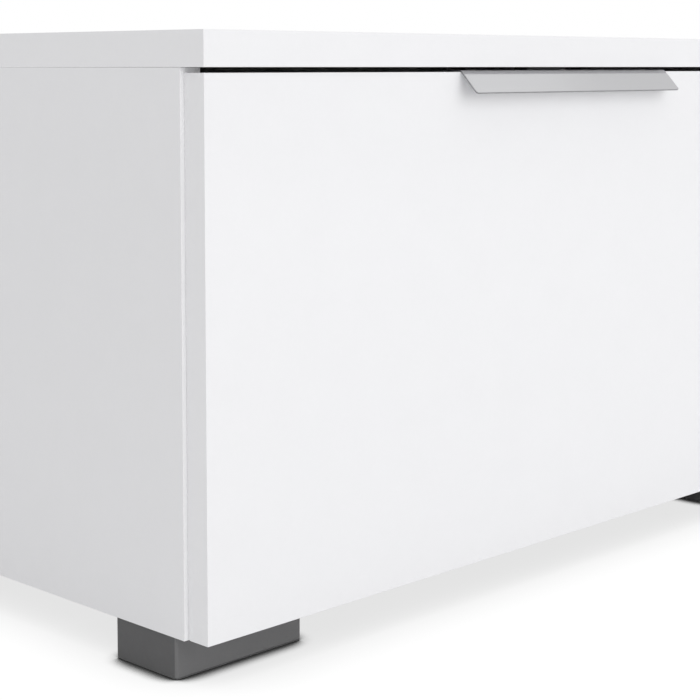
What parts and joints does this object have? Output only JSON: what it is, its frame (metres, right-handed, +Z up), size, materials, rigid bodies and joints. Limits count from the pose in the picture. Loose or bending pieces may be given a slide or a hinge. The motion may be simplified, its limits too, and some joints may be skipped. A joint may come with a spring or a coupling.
{
  "type": "tv stand with doors",
  "caption": "Low media stand of two boxes on block feet under one top, each with a bottom-hinged drop-down door on coupled sliding stays and a folded aluminium edge handle.",
  "frame": {"origin": "on the floor, under the middle of the bounding box, handles included", "axes": "+X along the width to the right as seen from the front, the doors face -Y, +Z up"},
  "size_m": [1.42, 0.4314, 0.3991],
  "materials": {
    "gloss_white": "white high-gloss lacquer on board",
    "satin_white": "white satin foil on board",
    "back_board": "thin white-faced fibreboard",
    "foot_plastic": "dark grey satin moulded plastic",
    "grey_plastic": "light grey moulded plastic",
    "handle_aluminium": "satin anodised aluminium",
    "steel": "bright nickel-plated steel"
  },
  "bodies": {
    "case": {"top_panel": "gloss_white", "bottom_panel_left": "satin_white", "back_panel_left": "back_board", "magnet_catch_left": "grey_plastic", "side_panel_left_outer": "satin_white", "foot_left_front_outer": "foot_plastic", "foot_left_rear_outer": "foot_plastic", "hinge_frame_leaf_left_outer": "steel", "hinge_pin_left_outer": "steel", "stay_plate_left_outer": "steel", "side_panel_left_inner": "satin_white", "foot_left_front_inner": "foot_plastic", "foot_left_rear_inner": "foot_plastic", "hinge_frame_leaf_left_inner": "steel", "hinge_pin_left_inner": "steel", "stay_plate_left_inner": "steel", "bottom_panel_right": "satin_white", "back_panel_right": "back_board", "magnet_catch_right": "grey_plastic", "side_panel_right_outer": "satin_white", "foot_right_front_outer": "foot_plastic", "foot_right_rear_outer": "foot_plastic", "hinge_frame_leaf_right_outer": "steel", "hinge_pin_right_outer": "steel", "stay_plate_right_outer": "steel", "side_panel_right_inner": "satin_white", "foot_right_front_inner": "foot_plastic", "foot_right_rear_inner": "foot_plastic", "hinge_frame_leaf_right_inner": "steel", "hinge_pin_right_inner": "steel", "stay_plate_right_inner": "steel", "case_bolt_front": "steel", "case_bolt_rear": "steel"},
    "door_left": {"door_left": "gloss_white", "handle_left": "handle_aluminium", "strike_plate_left": "steel", "hinge_door_leaf_left_outer": "steel", "hinge_door_leaf_left_inner": "steel", "stay_bracket_left_outer": "steel", "stay_bracket_left_inner": "steel"},
    "stay_swivel_left_outer": {"stay_swivel_left_outer": "grey_plastic"},
    "stay_rod_left_outer": {"stay_rod_left_outer": "steel"},
    "stay_swivel_left_inner": {"stay_swivel_left_inner": "grey_plastic"},
    "stay_rod_left_inner": {"stay_rod_left_inner": "steel"},
    "door_right": {"door_right": "gloss_white", "handle_right": "handle_aluminium", "strike_plate_right": "steel", "hinge_door_leaf_right_outer": "steel", "hinge_door_leaf_right_inner": "steel", "stay_bracket_right_outer": "steel", "stay_bracket_right_inner": "steel"},
    "stay_swivel_right_outer": {"stay_swivel_right_outer": "grey_plastic"},
    "stay_rod_right_outer": {"stay_rod_right_outer": "steel"},
    "stay_swivel_right_inner": {"stay_swivel_right_inner": "grey_plastic"},
    "stay_rod_right_inner": {"stay_rod_right_inner": "steel"}
  },
  "joints": [
    {"name": "door_left_hinge", "type": "hinge", "parent": "case", "child": "door_left", "pos_m": [-0.355, -0.19303, 0.0305], "axis": [1, 0, 0], "range_deg": [0, 90]},
    {"name": "stay_swivel_left_outer_turn", "type": "hinge", "parent": "case", "child": "stay_swivel_left_outer", "pos_m": [-0.68, -0.08188, 0.14559], "axis": [1, 0, 0], "range_deg": [0, 45]},
    {"name": "stay_rod_left_outer_pivot", "type": "hinge", "parent": "door_left", "child": "stay_rod_left_outer", "pos_m": [-0.68, -0.17103, 0.18898], "axis": [1, 0, 0], "range_deg": [-45, 0]},
    {"name": "stay_swivel_left_inner_turn", "type": "hinge", "parent": "case", "child": "stay_swivel_left_inner", "pos_m": [-0.03015, -0.08188, 0.14559], "axis": [1, 0, 0], "range_deg": [0, 45]},
    {"name": "stay_rod_left_inner_pivot", "type": "hinge", "parent": "door_left", "child": "stay_rod_left_inner", "pos_m": [-0.03015, -0.17103, 0.18898], "axis": [1, 0, 0], "range_deg": [-45, 0]},
    {"name": "door_right_hinge", "type": "hinge", "parent": "case", "child": "door_right", "pos_m": [0.355, -0.19303, 0.0305], "axis": [1, 0, 0], "range_deg": [0, 90]},
    {"name": "stay_swivel_right_outer_turn", "type": "hinge", "parent": "case", "child": "stay_swivel_right_outer", "pos_m": [0.68, -0.08188, 0.14559], "axis": [1, 0, 0], "range_deg": [0, 45]},
    {"name": "stay_rod_right_outer_pivot", "type": "hinge", "parent": "door_right", "child": "stay_rod_right_outer", "pos_m": [0.68, -0.17103, 0.18898], "axis": [1, 0, 0], "range_deg": [-45, 0]},
    {"name": "stay_swivel_right_inner_turn", "type": "hinge", "parent": "case", "child": "stay_swivel_right_inner", "pos_m": [0.03015, -0.08188, 0.14559], "axis": [1, 0, 0], "range_deg": [0, 45]},
    {"name": "stay_rod_right_inner_pivot", "type": "hinge", "parent": "door_right", "child": "stay_rod_right_inner", "pos_m": [0.03015, -0.17103, 0.18898], "axis": [1, 0, 0], "range_deg": [-45, 0]}
  ],
  "couplings": [
    {"joint": "stay_swivel_left_outer_turn", "follows": "door_left_hinge", "ratio": 0.5},
    {"joint": "stay_rod_left_outer_pivot", "follows": "door_left_hinge", "ratio": -0.5},
    {"joint": "stay_swivel_left_inner_turn", "follows": "door_left_hinge", "ratio": 0.5},
    {"joint": "stay_rod_left_inner_pivot", "follows": "door_left_hinge", "ratio": -0.5},
    {"joint": "stay_swivel_right_outer_turn", "follows": "door_right_hinge", "ratio": 0.5},
    {"joint": "stay_rod_right_outer_pivot", "follows": "door_right_hinge", "ratio": -0.5},
    {"joint": "stay_swivel_right_inner_turn", "follows": "door_right_hinge", "ratio": 0.5},
    {"joint": "stay_rod_right_inner_pivot", "follows": "door_right_hinge", "ratio": -0.5}
  ]
}
